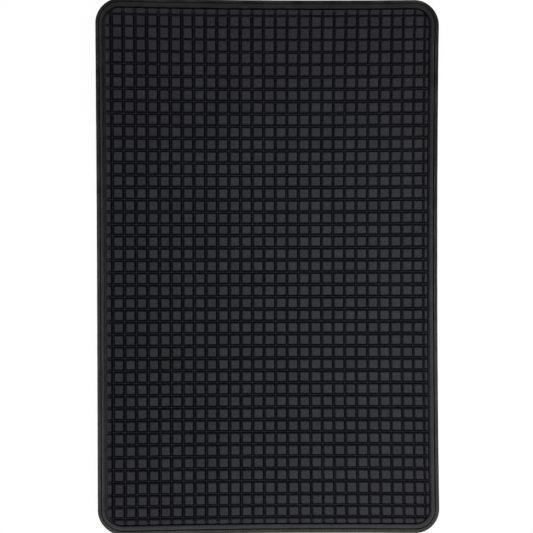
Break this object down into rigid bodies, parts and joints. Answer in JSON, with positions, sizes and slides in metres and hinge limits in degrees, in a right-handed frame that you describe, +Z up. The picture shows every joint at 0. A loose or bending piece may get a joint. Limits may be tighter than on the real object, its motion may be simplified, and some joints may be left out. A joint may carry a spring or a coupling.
{
  "type": "seedling heat mat",
  "caption": "Flat rectangular rubber mat with rounded corners, a smooth rim and a field of square studs over an electric heating element, which warms a seedling tray from below.",
  "frame": {"origin": "centre of the mat's flat underside, on the surface that it lies on", "axes": "+X to the right and +Y to the rear edge with the cord gland, as seen from above; +Z up through the studs"},
  "size_m": [0.3556, 0.5588, 0.0131],
  "materials": {
    "tray_rubber": "moulded black rubber, matt, with a trimmed edge",
    "rim_rubber": "smooth moulded black rubber, satin",
    "stud_rubber": "pressed black rubber, matt",
    "grommet_rubber": "moulded black rubber",
    "foam": "closed-cell foam",
    "glass_scrim": "woven glass scrim",
    "glass_tape": "woven glass tape",
    "foil": "plain foil",
    "wire_jacket": "silicone jacket",
    "line_jacket": "silicone jacket",
    "neutral_jacket": "silicone jacket",
    "earth_jacket": "silicone jacket",
    "crimp_brass": "plain brass",
    "shrink_sleeve": "heat-shrink sleeve",
    "limiter_case": "moulded case"
  },
  "bodies": {
    "root": {"base_tray": "tray_rubber", "rim_frame": "rim_rubber", "rear_stud_sheet": "stud_rubber", "front_stud_sheet": "stud_rubber", "cord_grommet": "grommet_rubber", "insulation_pad": "foam", "terminal_bed": "foam", "wire_carrier": "glass_scrim", "heating_wire": "wire_jacket", "fixing_tape_front": "glass_tape", "fixing_tape_middle": "glass_tape", "fixing_tape_rear": "glass_tape", "heat_spreader": "foil", "line_element_crimp": "crimp_brass", "neutral_element_crimp": "crimp_brass", "line_cord_crimp": "crimp_brass", "neutral_cord_crimp": "crimp_brass", "earth_cord_crimp": "crimp_brass", "earth_tab": "crimp_brass", "line_crimp_sleeve": "shrink_sleeve", "neutral_crimp_sleeve": "shrink_sleeve", "thermal_cutout": "limiter_case", "cutout_lead": "line_jacket", "line_lead": "line_jacket", "neutral_lead": "neutral_jacket", "earth_lead": "earth_jacket"}
  },
  "joints": []
}
